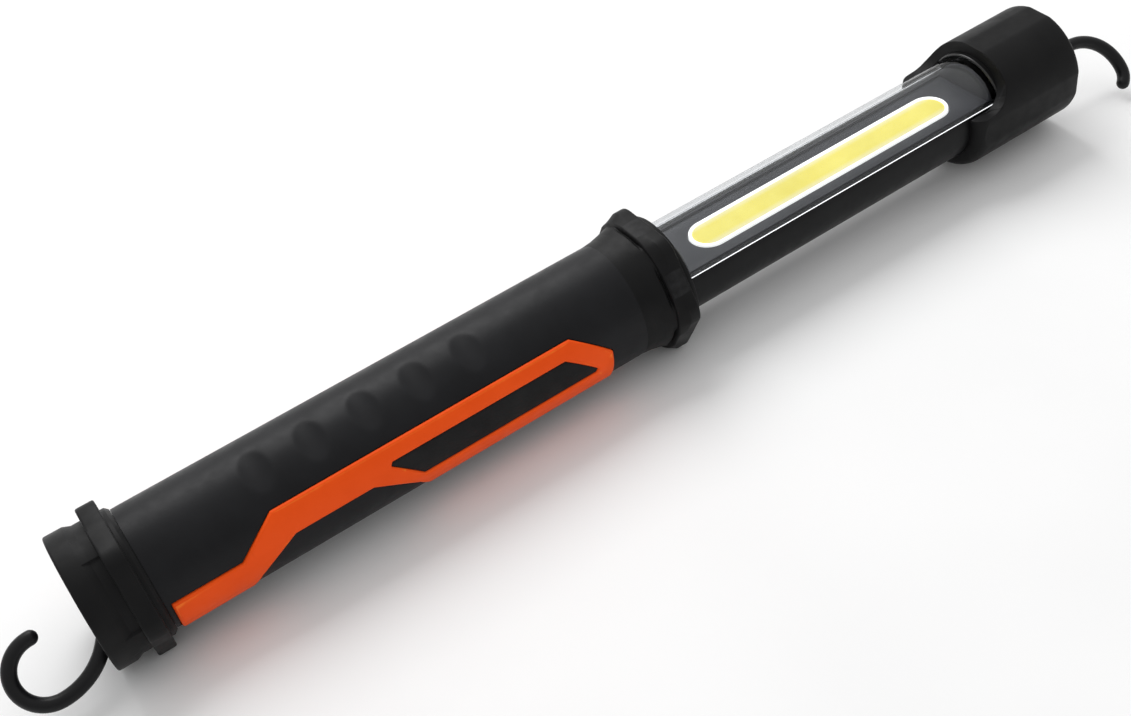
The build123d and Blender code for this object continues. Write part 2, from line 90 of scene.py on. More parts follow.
PORT_HINGE_X, PORT_HINGE_Z = 45.0, -22.0
HOOK_TURN = 44.0          # angle of the plane that the hooks lie in
PIVOT_DEPTH = 12.0        # of the hooks' pins, in from the end faces
WIRE_R = 2.7
SHARP_ANGLE = 35          # edges that turn more than this look sharp


# ---- points and outlines ----
def place(x, radius, angle):
    """The point at x, at a radius and an angle about the axis."""
    turn = radians(angle)
    return Vector((BASE_X + x * MM, radius * sin(turn) * MM, AXIS_Z + radius * cos(turn) * MM))


def spot(x, y, z):
    """The point at x, y to the side and z above the axis."""
    return Vector((BASE_X + x * MM, y * MM, AXIS_Z + z * MM))


def rounded(points, radius=0.4, steps=4):
    """A closed outline with its corners rounded. A point may bring its own radius."""
    out = []
    count = len(points)
    for i, point in enumerate(points):
        here = Vector(point[:2])
        back = Vector(points[i - 1][:2]) - here
        on = Vector(points[(i + 1) % count][:2]) - here
        size = point[2] if len(point) > 2 else radius
        if size <= 0 or back.length < 1e-6 or on.length < 1e-6:
            out += [here] * (steps + 1)
            continue
        half = max(back.angle(on) / 2, 0.02)      # keeps its tangent away from zero
        reach = min(size / tan(half), 0.45 * back.length, 0.45 * on.length)
        start = here + back.normalized() * reach
        end = here + on.normalized() * reach
        for k in range(steps + 1):
            t = k / steps
            out.append(start * (1 - t) ** 2 + here * 2 * t * (1 - t) + end * t ** 2)
    return out


def offset(points, distance):
    """A closed, anticlockwise outline moved outwards by a distance, with mitred corners."""
    out = []
    count = len(points)
    for i, point in enumerate(points):
        here = Vector(point[:2])
        a = (here - Vector(points[i - 1][:2])).normalized()
        b = (Vector(points[(i + 1) % count][:2]) - here).normalized()
        na, nb = Vector((a.y, -a.x)), Vector((b.y, -b.x))
        middle = na + nb
        out.append(here + middle * (2 * distance / max(middle.length_squared, 0.5)))
    return out


def tidy_outline(points, least=0.02):
    """An outline without points that repeat, running anticlockwise."""
    kept = []
    for point in points:
        if not kept or (Vector(point) - kept[-1]).length > least:
            kept.append(Vector(point))
    if (kept[0] - kept[-1]).length <= least:
        kept.pop()
    area = sum(p.cross(q) for p, q in zip(kept, kept[1:] + kept[:1]))
    return kept if area > 0 else kept[::-1]


def pill(x, length, width, steps=24):
    """A slot with round ends, long in x."""
    r = width / 2
    out = []
    for side in (1, -1):
        for k in range(steps + 1):
            turn = pi * k / steps - pi / 2
            out.append(Vector((x + side * (length / 2 - r + r * cos(turn)), side * r * sin(turn))))
    return out


def box_outline(x0, x1, y0, y1):
    """A rectangle."""
    return [(x0, y0), (x1, y0), (x1, y1), (x0, y1)]


def washer(x0, x1, inner, outer, radius):
    """A ring's rounded section, as (x, radius)."""
    return rounded([(x0, inner), (x0, outer), (x1, outer), (x1, inner)], radius)


def smooth_step(t):
    """0 below 0 and 1 above 1, with a smooth rise between."""
    t = min(max(t, 0.0), 1.0)
    return t * t * (3 - 2 * t)


def turned_from(angle, middle):
    """How far an angle is from another, from -180 to 180."""
    return (angle - middle + 180) % 360 - 180


def from_flat(angle):
    """Angle from the middle of the hexagon's nearest flat."""
    return abs((angle + 30) % 60 - 30)


def hexagon_radius(angle):
    """Radius of a rounded hexagon that stands on a flat."""
    delta = from_flat(angle)
    corner = (FLAT_R - CORNER_FILLET) / cos(radians(30))
    tangent = degrees(atan2(corner * sin(radians(30)), FLAT_R))
    if delta <= tangent:
        return FLAT_R / cos(radians(delta))
    away = radians(30 - delta)
    return corner * cos(away) + sqrt(CORNER_FILLET ** 2 - (corner * sin(away)) ** 2)


# ---- pieces ----
def add_object(name, data):
    """A new object in the scene."""
    made = bpy.data.objects.new(name, data)
    bpy.context.scene.collection.objects.link(made)
    return made


def make_piece(name, mesh, slot, stands_for, body="light_body", looks=()):
    """Puts a mesh on its CAD body in place of a CAD node, with its slot's look or others."""
    for look in looks or (slot,):
        mesh.materials.append(LOOKS[look])
    mesh.shade_smooth()
    mesh.set_sharp_from_angle(angle=radians(SHARP_ANGLE))
    piece = add_object(name, mesh)
    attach(piece, body)
    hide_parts(stands_for)


def mesh_from(bm):
    """A mesh from what bm holds, with its faces turned outwards."""
    bmesh.ops.recalc_face_normals(bm, faces=bm.faces)
    mesh = bpy.data.meshes.new("made")
    bm.to_mesh(mesh)
    bm.free()
    return mesh


def add_rings(bm, rings, closed=False):
    """Faces between rings of points, with the ends filled, or joined up if closed."""
    loops = [[bm.verts.new(p) for p in ring] for ring in rings]
    pairs = list(zip(loops, loops[1:]))
    if closed:
        pairs.append((loops[-1], loops[0]))
    for low, high in pairs:
        for i in range(len(low)):
            j = (i + 1) % len(low)
            bm.faces.new((low[i], low[j], high[j], high[i]))
    if not closed:
        bm.faces.new(loops[0][::-1])
        bm.faces.new(loops[-1])


def turned_mesh(profile, columns):
    """A closed ring about the axis. profile gives an outline of (x, radius) at an angle."""
    angles = [360 * i / columns for i in range(columns)]
    rings = [[place(x, r, angle) for x, r in profile(angle)] for angle in angles]
    bm = bmesh.new()
    add_rings(bm, rings, closed=True)
    return mesh_from(bm)


def extruded_mesh(section, stations):
    """A bar along the axis whose closed section is a list of (y, z)."""
    bm = bmesh.new()
    add_rings(bm, [[spot(x, y, z) for y, z in section] for x in stations])
    return mesh_from(bm)


def layered(bm, outline, layers, to_space, holes=(), cuts=()):
    """A plate from an outline and holes, built up in layers of (offset, height) and cut
    across at (axis, position) so that it can bend, and then put in its place."""
    outline = tidy_outline(outline)
    loops = [(outline, 1)] + [(tidy_outline(hole), -1) for hole in holes]
    made, first, last = [], [], []
    for loop, way in loops:
        rings = [[bm.verts.new((*p, height)) for p in offset(loop, way * move)]
                 for move, height in layers]
        for low, high in zip(rings, rings[1:]):
            for i in range(len(low)):
                j = (i + 1) % len(low)
                made.append(bm.faces.new((low[i], low[j], high[j], high[i])))
        for ring, edges in ((rings[0], first), (rings[-1], last)):
            edges += [bm.edges.get((ring[i - 1], ring[i])) for i in range(len(ring))]
    for edges in (first, last):
        filled = bmesh.ops.triangle_fill(bm, edges=edges, use_beauty=True)
        made += [f for f in filled["geom"] if isinstance(f, bmesh.types.BMFace)]
    for axis, position in cuts:
        spots = list(dict.fromkeys(v for f in made for v in f.verts))
        ties = list(dict.fromkeys(e for f in made for e in f.edges))
        normal, point = [0, 0, 0], [0, 0, 0]
        normal[axis], point[axis] = 1, position
        done = bmesh.ops.bisect_plane(bm, geom=spots + ties + made, dist=1e-4,
                                      plane_co=point, plane_no=normal)
        made = [f for f in done["geom"] if isinstance(f, bmesh.types.BMFace)]
    for vert in dict.fromkeys(v for f in made for v in f.verts):
        vert.co = to_space(*vert.co)


def steps_between(low, high, most):
    """Evenly spaced values strictly between two ends, at most that far apart."""
    count = max(1, ceil((high - low) / most))
    return [low + (high - low) * i / count for i in range(1, count)]


def tube_along(bm, centres, normal, radius, sides=28):
    """A round bar with ball ends along points that lie in one plane."""
    rings = []
    count = len(centres)
    for i, centre in enumerate(centres):
        ahead = (centres[min(i + 1, count - 1)] - centres[max(i - 1, 0)]).normalized()
        side = ahead.cross(normal).normalized()
        balls = [(0, 1)]
        if i in (0, count - 1):
            turns = [radians(90 * k / 8) for k in range(8)]
            balls = [(sin(t), cos(t)) for t in turns]
        if i == 0:
            balls = [(-away, size) for away, size in balls[::-1]]
        for away, size in balls:
            ring = []
            for k in range(sides):
                turn = 2 * pi * k / sides
                out = side * cos(turn) + normal * sin(turn)
                ring.append(centre + (ahead * away + out * size) * radius * MM)
            rings.append(ring)
    add_rings(bm, rings)


def turned_about(bm, centre, axis, profile, columns=64):
    """A ring about any axis, from an outline of (along, radius)."""
    side = axis.orthogonal().normalized()
    other = axis.cross(side)
    rings = []
    for k in range(columns):
        turn = 2 * pi * k / columns
        out = side * cos(turn) + other * sin(turn)
        rings.append([centre + (axis * along + out * r) * MM for along, r in profile])
    add_rings(bm, rings, closed=True)


def cut_away(piece_mesh, cutter_mesh):
    """The first mesh less the second."""
    kept = add_object("kept", piece_mesh)
    tool = add_object("tool", cutter_mesh)
    cut = kept.modifiers.new("cut", "BOOLEAN")
    cut.operation, cut.solver, cut.object = "DIFFERENCE", "EXACT", tool
    bpy.context.view_layer.update()
    result = bpy.data.meshes.new_from_object(
        kept.evaluated_get(bpy.context.evaluated_depsgraph_get()))
    for used in (kept, tool):
        bpy.data.objects.remove(used)
    return result


# ---- materials ----
class Look:
    """One material's node tree, with short calls for the nodes used here."""

    def __init__(self, name):
        self.material = bpy.data.materials.new(name)
        self.material.use_nodes = True
        self.nodes = self.material.node_tree.nodes
        self.shader = self.nodes["Principled BSDF"]
        self.where = self.new("TexCoord").outputs["Object"]

    def new(self, kind):
        return self.nodes.new("ShaderNode" + kind)

    def link(self, source, target):
        self.material.node_tree.links.new(source, target)

    def put(self, **values):
        """Sets the shader's inputs, named with _ for a space."""
        for name, value in values.items():
            self.shader.inputs[name.replace("_", " ")].default_value = value

    def stretched(self, scale):
        """Object coordinates multiplied by a scale on each axis."""
        mapping = self.new("Mapping")
        mapping.inputs["Scale"].default_value = scale
        self.link(self.where, mapping.inputs["Vector"])
        return mapping.outputs["Vector"]

    def noise(self, size, detail=3.0, stretch=None):
        """Noise whose features are about that many millimetres across."""
        node = self.new("TexNoise")
        node.inputs["Scale"].default_value = 1 / (size * MM)
        node.inputs["Detail"].default_value = detail
        self.link(self.stretched(stretch) if stretch else self.where, node.inputs["Vector"])
        return node.outputs["Fac"]

    def cells(self, size, feature="F1"):
        """Cells that are about that many millimetres across."""
        node = self.new("TexVoronoi")
        node.feature = feature
        node.inputs["Scale"].default_value = 1 / (size * MM)
        self.link(self.where, node.inputs["Vector"])
        return node.outputs["Distance"]

    def spread(self, source, low, high, start=0.3, end=0.7):
        """Turns start to end into low to high, and stops there."""
        node = self.new("MapRange")
        node.inputs["From Min"].default_value = start
        node.inputs["From Max"].default_value = end
        node.inputs["To Min"].default_value = low
        node.inputs["To Max"].default_value = high
        self.link(source, node.inputs["Value"])
        return node.outputs["Result"]

    def from_middle(self):
        """Millimetres out sideways from the object's middle plane."""
        parts = self.new("SeparateXYZ")
        self.link(self.where, parts.inputs["Vector"])
        return self.maths("MULTIPLY", self.maths("ABSOLUTE", parts.outputs["Y"], 0), 1 / MM)

    def maths(self, kind, a, b):
        """One sum, from sockets or numbers."""
        node = self.new("Math")
        node.operation = kind
        for value, socket in ((a, node.inputs[0]), (b, node.inputs[1])):
            if isinstance(value, (int, float)):
                socket.default_value = value
            else:
                self.link(value, socket)
        return node.outputs[0]

    def blend(self, share, low, high):
        """A colour between two colours or sockets, by a share."""
        node = self.new("Mix")
        node.data_type = "RGBA"
        self.link(share, node.inputs["Factor"])
        for value, socket in ((low, node.inputs["A"]), (high, node.inputs["B"])):
            if isinstance(value, tuple):
                socket.default_value = (*value, 1)
            else:
                self.link(value, socket)
        return node.outputs["Result"]

    def colour(self, source):
        self.link(source, self.shader.inputs["Base Color"])

    def rough(self, source):
        self.link(source, self.shader.inputs["Roughness"])

    def bump(self, layers):
        """Bumps from (height source, depth in millimetres) pairs, one on the other."""
        normal = None
        for source, depth in layers:
            node = self.new("Bump")
            node.inputs["Strength"].default_value = 1.0
            node.inputs["Distance"].default_value = depth * MM
            self.link(source, node.inputs["Height"])
            if normal:
                self.link(normal, node.inputs["Normal"])
            normal = node.outputs["Normal"]
        self.link(normal, self.shader.inputs["Normal"])


def plastic(name, dark, light, rough, grain, depth, shine=0.5, edge=None, **more):
    """Moulded plastic or rubber: mottled colour, uneven gloss, a fine grain, and edges
    lightened to the edge colour, a painted edge highlight with a little dust."""
    look = Look(name)
    look.put(Specular_IOR_Level=shine, **more)
    mottle = look.spread(look.noise(14, 4), 0, 1)
    base = look.blend(mottle, dark, light)
    if edge:
        # Painted edge highlight, with a little dust: the sharpest edges, found by pointiness, turn
        # to the edge colour in patches.
        point = look.new("NewGeometry").outputs["Pointiness"]
        edge_highlight_and_dust = look.spread(point, 0, 1, 0.53, 0.64)
        edge_highlight_and_dust = look.maths("MULTIPLY", edge_highlight_and_dust, look.spread(look.noise(3.5, 4), 0.15, 1))
        base = look.blend(edge_highlight_and_dust, base, edge)
    look.colour(base)
    look.rough(look.spread(look.noise(5, 5), rough[0], rough[1]))
    look.bump([(look.cells(grain), depth), (look.noise(grain * 5, 3), depth * 1.4)])
    return look.material


def brushed_metal(name, dark, light, rough, along):
    """Metal with fine lines, drawn out by the along scale."""
    look = Look(name)
    look.put(Metallic=1.0)
    lines = look.noise(0.5, 4, stretch=along)
    look.colour(look.blend(look.spread(lines, 0, 1), dark, light))
    look.rough(look.spread(look.noise(1.2, 4, stretch=along), rough[0], rough[1]))
    look.bump([(lines, 0.006)])
    return look.material


def clear_cover():
    """Clear polycarbonate: what is behind shows, with the sky's reflection on it. It is
    glossier and darker where it is seen edge-on."""
    look = Look("clear_polycarbonate")
    look.nodes.remove(look.shader)
    through = look.new("BsdfTransparent")
    tint = look.blend(look.spread(look.noise(30, 2), 0, 1), (0.90, 0.91, 0.92),
                      (0.94, 0.95, 0.955))
    gloss = look.new("BsdfGlossy")
    haze = look.spread(look.noise(6, 3), 0.02, 0.05)
    look.link(haze, gloss.inputs["Roughness"])
    facing = look.new("LayerWeight")
    facing.inputs["Blend"].default_value = 0.5
    grazing = look.maths("POWER", facing.outputs["Facing"], 5.0)
    shine = look.maths("ADD", look.maths("MULTIPLY", grazing, 0.5), 0.04)
    thick = look.maths("POWER", facing.outputs["Facing"], 9.0)
    look.link(look.blend(thick, tint, (0.3, 0.3, 0.32)), through.inputs["Color"])
    ripple = look.new("Bump")
    ripple.inputs["Distance"].default_value = 0.012 * MM
    look.link(look.noise(12, 1), ripple.inputs["Height"])
    look.link(ripple.outputs["Normal"], gloss.inputs["Normal"])
    mix = look.new("MixShader")
    look.link(shine, mix.inputs[0])
    look.link(through.outputs[0], mix.inputs[1])
    look.link(gloss.outputs[0], mix.inputs[2])
    look.link(mix.outputs[0], look.nodes["Material Output"].inputs["Surface"])
    return look.material


def phosphor_painted_glow():
    """Yellow phosphor gel with a painted glow, a little uneven, with its grains just showing and
    the painted glow paler along its long sides. Its own colour is kept dark under the glow."""
    look = Look("phosphor_painted_glow")
    # Painted glow: the emission gives the gel its brightness.
    look.put(Roughness=0.45, Emission_Strength=0.92, Specular_IOR_Level=0.2)
    grains = look.spread(look.cells(0.7), 0.0, 1.0, 0.0, 0.6)
    cloud = look.spread(look.noise(9, 3), 0, 1)
    shade = look.blend(cloud, (1.0, 0.85, 0.15), (1.0, 0.88, 0.2))
    shade = look.blend(look.maths("MULTIPLY", grains, 0.15), shade, (1.0, 0.95, 0.3))
    out = look.from_middle()
    side = STRIP_W / 2 - STRIP_BORDER
    # Painted glow, paler towards the long sides next to the dam.
    painted_pale_sides = look.spread(out, 0, 0.8, side - 3.2, side)
    shade = look.blend(painted_pale_sides, shade, (1.0, 0.97, 0.8))
    look.colour(look.blend(cloud, (0.2, 0.17, 0.02), (0.26, 0.22, 0.03)))
    look.link(shade, look.shader.inputs["Emission Color"])
    look.bump([(look.cells(0.7), 0.02), (look.noise(5, 2), 0.05)])
    return look.material


def border_painted_glow():
    """White dam with a painted glow: its emission makes it bright white."""
    look = Look("border_painted_glow")
    # Painted glow: the dam's colour is also its emission.
    look.put(Roughness=0.4, Emission_Strength=0.95)
    shade = look.blend(look.spread(look.noise(3, 3), 0, 1), (0.93, 0.93, 0.9), (1.0, 1.0, 0.98))
    look.colour(shade)
    look.link(shade, look.shader.inputs["Emission Color"])
    look.bump([(look.noise(0.6, 3), 0.02)])
    return look.material


def circuit_board():
    """Green board with darker tracks."""
    look = Look("circuit_board")
    tracks = look.spread(look.cells(2.2, "DISTANCE_TO_EDGE"), 0, 1, 0.05, 0.09)
    look.colour(look.blend(tracks, (0.02, 0.16, 0.06), (0.008, 0.07, 0.03)))
    look.rough(look.spread(look.noise(2, 3), 0.3, 0.5))
    look.bump([(tracks, 0.03)])
    return look.material


# Each plastic's two colours, roughness from and to, grain size and depth in millimetres,
# shine, and the colour of its edges' painted highlight, with a little dust, if it has them.
PLASTICS = {
    "black_rubber": ((0.0052, 0.0052, 0.0055), (0.008, 0.008, 0.0083), (0.42, 0.54),
                     0.35, 0.012, 0.13, (0.02, 0.02, 0.021)),
    "soft_grip": ((0.0086, 0.0087, 0.0097), (0.0118, 0.012, 0.0134), (0.38, 0.48),
                  0.28, 0.012, 0.14),
    "orange_plastic": ((0.89, 0.084, 0.005), (0.95, 0.096, 0.007), (0.36, 0.5),
                       0.4, 0.01, 0.12, (1.0, 0.2, 0.02)),
    "black_plastic": ((0.0045, 0.0045, 0.005), (0.007, 0.007, 0.0075), (0.3, 0.42),
                      0.5, 0.008, 0.14, (0.016, 0.016, 0.017)),
    "hub_plastic": ((0.009, 0.009, 0.0095), (0.015, 0.015, 0.0155), (0.34, 0.5),
                    0.5, 0.01, 0.25, (0.03, 0.03, 0.03)),
    "hook_wire": ((0.0056, 0.0056, 0.0062), (0.0088, 0.0088, 0.0098), (0.3, 0.44),
                  0.8, 0.01, 0.2),
    "panel_texture": ((0.0048, 0.0048, 0.0052), (0.009, 0.009, 0.0094), (0.45, 0.6),
                      1.1, 0.05, 0.16),
    "tray_grey": ((0.044, 0.044, 0.05), (0.054, 0.054, 0.062), (0.4, 0.5), 0.6, 0.004, 0.3),
    "gasket": ((0.006, 0.006, 0.006), (0.01, 0.01, 0.01), (0.14, 0.24), 0.9, 0.01),
    "cell_wrap": ((0.02, 0.09, 0.3), (0.03, 0.12, 0.38), (0.25, 0.35), 2.0, 0.01),
    "lead_red": ((0.4, 0.01, 0.01), (0.5, 0.02, 0.02), (0.4, 0.5), 0.5, 0.01),
    "indicator": ((0.1, 0.45, 0.16), (0.15, 0.6, 0.22), (0.2, 0.3), 0.6, 0.01),
}
LOOKS = {name: plastic(name, *row) for name, row in PLASTICS.items()}
LOOKS.update({
    # Painted highlight: a white, glowing strip for the bright line along the lens' cut edge.
    "painted_edge_highlight": plastic("painted_edge_highlight", (0.8, 0.81, 0.82), (0.92, 0.92, 0.94), (0.2, 0.35),
                            0.3, 0.01, Emission_Strength=0.8, Emission_Color=(1, 1, 1, 1)),
    "bright_steel": brushed_metal("bright_steel", (0.5, 0.5, 0.51), (0.72, 0.72, 0.73),
                                  (0.2, 0.38), (1, 0.1, 1)),
    "aluminium": brushed_metal("aluminium", (0.6, 0.61, 0.62), (0.8, 0.8, 0.81), (0.3, 0.5),
                               (0.06, 1, 1)),
    "contact_brass": brushed_metal("contact_brass", (0.6, 0.42, 0.16), (0.75, 0.55, 0.25),
                                   (0.25, 0.4), (1, 0.1, 1)),
    "clear_lens": clear_cover(),
    "phosphor": phosphor_painted_glow(),
    "strip_white": border_painted_glow(),
    "board_green": circuit_board(),
})


# ---- base boot, grip and collar ----
BOOT_RING_R, BOOT_WAIST_R, BOOT_MOUTH_R, BOOT_INNER_R = 25.6, 24.5, 20.4, 21.7
BOOT_SIX = (13.3, 20.2)   # where the base's anti-roll ring starts and stops
COLLAR_SIX = (229.2, 237.8)
COLLAR_INNER_R = 21.1
PADS, PAD_TURN, PAD_HEIGHT = 4, -10, 0.95
PAD_HALF, PAD_RAMP = 12.1, 1.2            # angles of a pad's half width and of its side


def boot_profile(angle):
    """Base boot: end ring, waist between four pads, anti-roll hexagon, step to the grip."""
    away = min(abs(turned_from(angle, PAD_TURN + 360 / PADS * i)) for i in range(PADS))
    pad = BOOT_WAIST_R + PAD_HEIGHT * smooth_step((PAD_HALF - away) / PAD_RAMP)
    six = hexagon_radius(angle)
    x0, x1 = BOOT_SIX
    return rounded([
        (0, BOOT_MOUTH_R, 0.3), (0, BOOT_RING_R, 0.9), (7.1, BOOT_RING_R, 0.8), (9.8, pad, 0.8),
        (x0, pad, 0.25), (x0, six, 0.9), (x1, six, 0.9), (x1, BOOT_WAIST_R, 0.3),
        (21.6, BOOT_WAIST_R, 0.5), (22.6, 23.6, 0.4), (23.0, 23.2, 0.2), (23.1, BORE_R, 0.1),
        (21.6, BORE_R, 0.1), (21.6, BOOT_INNER_R, 0.1), (1.3, BOOT_INNER_R, 0.1),
        (1.3, BOOT_MOUTH_R, 0.1)])


def collar_profile(angle):
    """Front collar: flare, crease that fades at the corners, anti-roll hexagon, lip."""
    six = hexagon_radius(angle)
    corner = smooth_step((from_flat(angle) - 9) / 14)
    x0, x1 = COLLAR
    h0, h1 = COLLAR_SIX
    lens_bore = HEAD_R + 0.6
    return rounded([
        (x0 - 0.1, BORE_R, 0.1), (x0 - 0.1, HANDLE_R, 0.02), (221.5, 23.4, 1.5),
        (225.0, 24.1, 1.5), (h0 - 1.0, 24.7 + 0.5 * corner, 0.4),
        (h0 - 0.6, 23.9 + 1.4 * corner, 0.2), (h0, 23.9 + 1.6 * corner, 0.2),
        (h0, min(six, 26.6), 0.8), (h0 + 4.0, min(six, 29.6), 0.9), (h1, min(six, 29.2), 0.9),
        (h1, 24.5, 0.35), (239.2, 24.6, 0.3), (x1, 24.3, 1.2), (x1, lens_bore, 0.4),
        (239.7, lens_bore, 0.1), (239.7, COLLAR_INNER_R, 0.1), (236.1, COLLAR_INNER_R, 0.1),
        (236.1, BORE_R, 0.1)])


GROOVES, GROOVE_FIRST, GROOVE_PITCH = 5, 69.5, 21.0
GROOVE_DEPTH, GROOVE_LEN = 1.2, 11.0
GROOVE_SPREAD = 22.0      # angle from a groove's middle to where it leaves the grip
GROOVE_TURN = -20.0       # the row's angle about the axis
GROOVE_EDGE = 0.2         # softness of a groove's rim
GROOVED = (60.0, 163.0)   # the part of the grip that is finely divided


def grip_radius(x, angle):
    """Radius of the grip, less its finger grooves. Each groove is round along the grip, at
    round_r, and round across it, at sweep_r."""
    radius = HANDLE_R
    bottom = HANDLE_R - GROOVE_DEPTH
    half = HANDLE_R * sin(radians(GROOVE_SPREAD))
    drop = bottom - HANDLE_R * cos(radians(GROOVE_SPREAD))
    sweep_r = (half ** 2 + drop ** 2) / (2 * drop)
    round_r = (GROOVE_LEN / 2) ** 2 / (2 * GROOVE_DEPTH)
    turn = radians(turned_from(angle, GROOVE_TURN))
    for i in range(GROOVES):
        along = x - GROOVE_FIRST - GROOVE_PITCH * i
        if abs(along) > GROOVE_LEN or cos(turn) < 0.6:
            continue
        floor_r = sweep_r + round_r - sqrt(round_r ** 2 - along ** 2)
        low = bottom - sweep_r            # the sweep's centre, off the axis
        reach = low * cos(turn) + sqrt(floor_r ** 2 - (low * sin(turn)) ** 2)
        gap = radius - reach
        radius -= (gap + sqrt(gap * gap + GROOVE_EDGE ** 2)) / 2
    return radius


def grip_mesh():
    """Outside of the grip, finely divided along the grooves."""
    x0, x1 = SLEEVE
    low, high = GROOVED
    stations = [x0, *steps_between(x0, low, 3.0), *steps_between(low, high, 0.8),
                *steps_between(high, x1, 3.0), x1]

    def profile(angle):
        outside = [(x, grip_radius(x, angle)) for x in stations]
        outside[0] = (x0, HANDLE_R - 0.1)
        return outside + [(x1, BORE_R), (x0, BORE_R)]

    return turned_mesh(profile, 240)


# ---- side inlays ----
SEEN_FROM = 46.0          # angle about the axis that the inlays' edges are drawn from
INLAY = [(24.9, 86), (51.2, 86), (66.7, 56.5), (187.1, 56.5), (201.6, 88.5), (201.6, 131)]
LOWER = [(71.0, 86), (101.3, 86), (121.5, 131), (52.5, 131)]
WINDOW = [(110.6, 72.7), (182.6, 72.7), (194.6, 99.5), (193.8, 103.5), (120.4, 103.5),
          (109.7, 76.5)]
INLAY_LAYERS = [(0, 22.1), (0, 23.4), (-0.12, 23.62), (-0.6, 23.92), (-0.8, 23.98),
                (-1.0, INLAY_R)]
PANEL_LAYERS = [(0, 22.1), (0, PANEL_R - 0.3), (-0.1, PANEL_R - 0.1), (-0.3, PANEL_R)]
PANEL_GAP = 0.1           # round the two panels, inside the inlay
SEAT_GAP = 0.38           # round the inlay, in the grip


def side_points(points, corner):
    """An outline of (x, angle) unrolled at the inlay's radius, for corners of one radius.
    Its edges run straight when they are seen from SEEN_FROM, as in the photo."""
    out = []
    for (x0, a0), (x1, a1) in zip(points, points[1:] + points[:1]):
        out.append((x0, radians(a0) * INLAY_R, corner))
        if abs(a1 - a0) < 1 or abs(x1 - x0) < 1:
            continue
        low, high = sin(radians(a0 - SEEN_FROM)), sin(radians(a1 - SEEN_FROM))
        for k in (0.2, 0.4, 0.6, 0.8):
            angle = SEEN_FROM + degrees(asin(low + (high - low) * k))
            out.append((x0 + (x1 - x0) * k, radians(angle) * INLAY_R, 0))
    return out


def inlay_outline():
    """The inlay, with the lower panel's notch in its edge."""
    notch = [(122.0, 131), (101.3, 86), (71.0, 86), (52.0, 131)]
    return rounded(side_points(INLAY + notch + [(24.9, 131)], 0.7), steps=3)


def panel_outline(points):
    """A panel's outline, a little smaller than its opening."""
    return offset(tidy_outline(rounded(side_points(points, 0.6), steps=3)), -PANEL_GAP)


def around_side(side):
    """Wraps an unrolled outline's points round the grip's side."""
    def to_space(x, along, radius):
        return place(x, radius, side * degrees(along / INLAY_R))
    return to_space


def bend_cuts():
    """Cuts that let an unrolled plate bend, across the angles and along the grip."""
    low, high = radians(50) * INLAY_R, radians(135) * INLAY_R
    across = [(1, at) for at in steps_between(low, high, 1.1)]
    return across + [(0, at) for at in steps_between(24, 204, 9.0)]


def side_plate(outline, layers, side, holes=()):
    """A plate that is bent round one side of the grip."""
    bm = bmesh.new()
    layered(bm, outline, layers, around_side(side), holes, bend_cuts())
    return mesh_from(bm)


def make_sides():
    """On each side, the orange inlay with its window panel and its lower panel."""
    window = rounded(side_points(WINDOW, 0.6), steps=3)
    for side, word in ((-1, "left"), (1, "right")):
        mesh = side_plate(inlay_outline(), INLAY_LAYERS, side, [window])
        make_piece("orange_inlay_" + word, mesh, "orange_plastic", "side_inlay_" + word)
        mesh = side_plate(panel_outline(WINDOW), PANEL_LAYERS, side)
        make_piece("window_plate_" + word, mesh, "black_plastic", "window_panel_" + word,
                   looks=["panel_texture"])
        mesh = side_plate(panel_outline(LOWER), PANEL_LAYERS, side)
        make_piece("lower_plate_" + word, mesh, "soft_grip", "lower_panel_" + word)


# ---- the handle's back: switch, indicators and charging port ----
def under_handle(x, y, radius):
    """A flat outline's point put under the handle, at a radius from the axis."""
    return spot(x, y, -sqrt(max(radius ** 2 - y ** 2, 0)))


def straight_under(x, y, depth):
    """A flat outline's point put at a depth under the axis."""
    return spot(x, y, -depth)


PORT = (29.8, 43.9, -6.6, 6.6)            # the flap's x0, x1, y0 and y1
PORT_POCKET = (PORT[0] - 0.3, 46.5, -7.0, 7.0)
LAMPS, LAMP_FIRST, LAMP_PITCH, LAMP_WIDE = 4, 180.5, 3.5, 2.7
POCKET_DEPTHS = [(0, 12), (0, 40)]        # right through the grip


def button_slot(more):
    """The button's outline, made larger."""
    return pill(BUTTON_X, BUTTON_L + more, BUTTON_W + more)


def pockets_mesh():
    """Everything that is cut out of the grip."""
    bm = bmesh.new()
    for side in (-1, 1):
        seat = [(24.9, 131), *INLAY]
        outline = tidy_outline(rounded(side_points(seat, 0.8), steps=3))
        layered(bm, offset(outline, SEAT_GAP), [(0, SEAT_R), (0, 30)], around_side(side), (),
                bend_cuts())
    layered(bm, button_slot(4.0), POCKET_DEPTHS, straight_under)
    layered(bm, rounded(box_outline(*PORT_POCKET), 1.0), POCKET_DEPTHS, straight_under)
    for i in range(LAMPS):
        hole = pill(LAMP_FIRST + LAMP_PITCH * i, LAMP_WIDE, LAMP_WIDE - 0.001)
        layered(bm, hole, POCKET_DEPTHS, straight_under)
    return mesh_from(bm)


